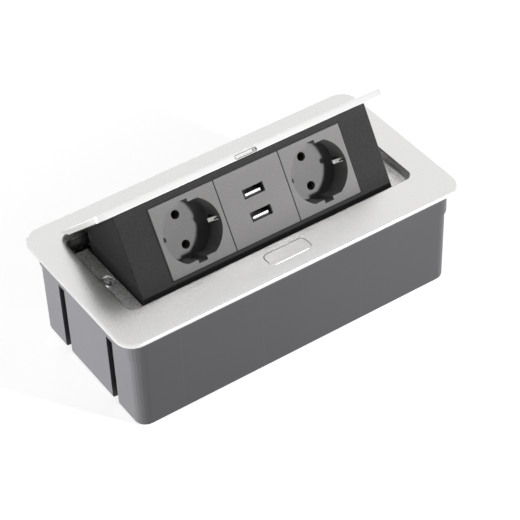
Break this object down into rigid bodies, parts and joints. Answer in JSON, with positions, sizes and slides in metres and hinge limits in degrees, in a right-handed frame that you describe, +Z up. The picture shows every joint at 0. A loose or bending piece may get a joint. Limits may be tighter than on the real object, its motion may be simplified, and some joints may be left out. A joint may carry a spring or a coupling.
{
  "type": "in-desk power module",
  "caption": "Desk power module with a brushed frame and a tilting lid whose sloped panel carries mains sockets and a USB charger above a deep box housing.",
  "frame": {"origin": "centre of the housing's underside", "axes": "+X along the long side, +Y from the release button to the hinge, +Z up through the flange"},
  "size_m": [0.243, 0.1226, 0.1213],
  "materials": {
    "frame_silver": "satin",
    "lid_silver": "satin",
    "button_silver": "satin",
    "housing_grey": "fine grained",
    "carrier_black": "matte",
    "cover_black": "matte",
    "module_grey": "matte",
    "usb_grey": "matte",
    "brass": "plain",
    "clip_steel": "bright",
    "shell_steel": "bright",
    "tongue_white": "smooth",
    "board_green": "circuit board",
    "screw_steel": "plain",
    "pin_steel": "plain",
    "spring_steel": "wire",
    "latch_steel": "plain",
    "grommet_rubber": "matte",
    "terminal_white": "plain"
  },
  "bodies": {
    "base": {"frame": "frame_silver", "frame_screw_l": "screw_steel", "frame_screw_r": "screw_steel", "housing": "housing_grey", "cord_grommet": "grommet_rubber", "terminal_block": "terminal_white", "hinge_pin_l": "pin_steel", "hinge_pin_r": "pin_steel", "torsion_spring_l": "spring_steel", "torsion_spring_r": "spring_steel", "button_spring": "spring_steel", "latch_spring": "spring_steel"},
    "button": {"release_button": "button_silver"},
    "latch": {"latch_slider": "latch_steel"},
    "tilt_unit": {"lid": "lid_silver", "socket_carrier": "carrier_black", "rear_cover": "cover_black", "socket_l": "module_grey", "socket_r": "module_grey", "contact_l_top": "brass", "contact_l_low": "brass", "contact_r_top": "brass", "contact_r_low": "brass", "earth_clip_l_in": "clip_steel", "earth_clip_l_out": "clip_steel", "earth_clip_r_in": "clip_steel", "earth_clip_r_out": "clip_steel", "usb_module": "usb_grey", "usb_shell_top": "shell_steel", "usb_shell_low": "shell_steel", "usb_tongue_top": "tongue_white", "usb_tongue_low": "tongue_white", "usb_board": "board_green"}
  },
  "joints": [
    {"name": "lid_tilt", "type": "hinge", "parent": "base", "child": "tilt_unit", "pos_m": [0, 0.0442, 0.0582], "axis": [1, 0, 0], "range_deg": [0, 43], "stiffness_Nm_per_rad": 0.15, "springref_deg": -85.94, "deforming": ["torsion_spring_l", "torsion_spring_r"]},
    {"name": "button_press", "type": "slide", "parent": "base", "child": "button", "axis": [0, 0, -1], "range_m": [0, 0.0025], "stiffness_N_per_m": 400, "springref_m": -0.001, "deforming": ["button_spring"]},
    {"name": "latch_slide", "type": "slide", "parent": "base", "child": "latch", "axis": [0, -1, 0], "range_m": [0, 0.0015], "deforming": ["latch_spring"]}
  ],
  "couplings": [
    {"joint": "latch_slide", "follows": "button_press", "ratio": 0.6}
  ]
}
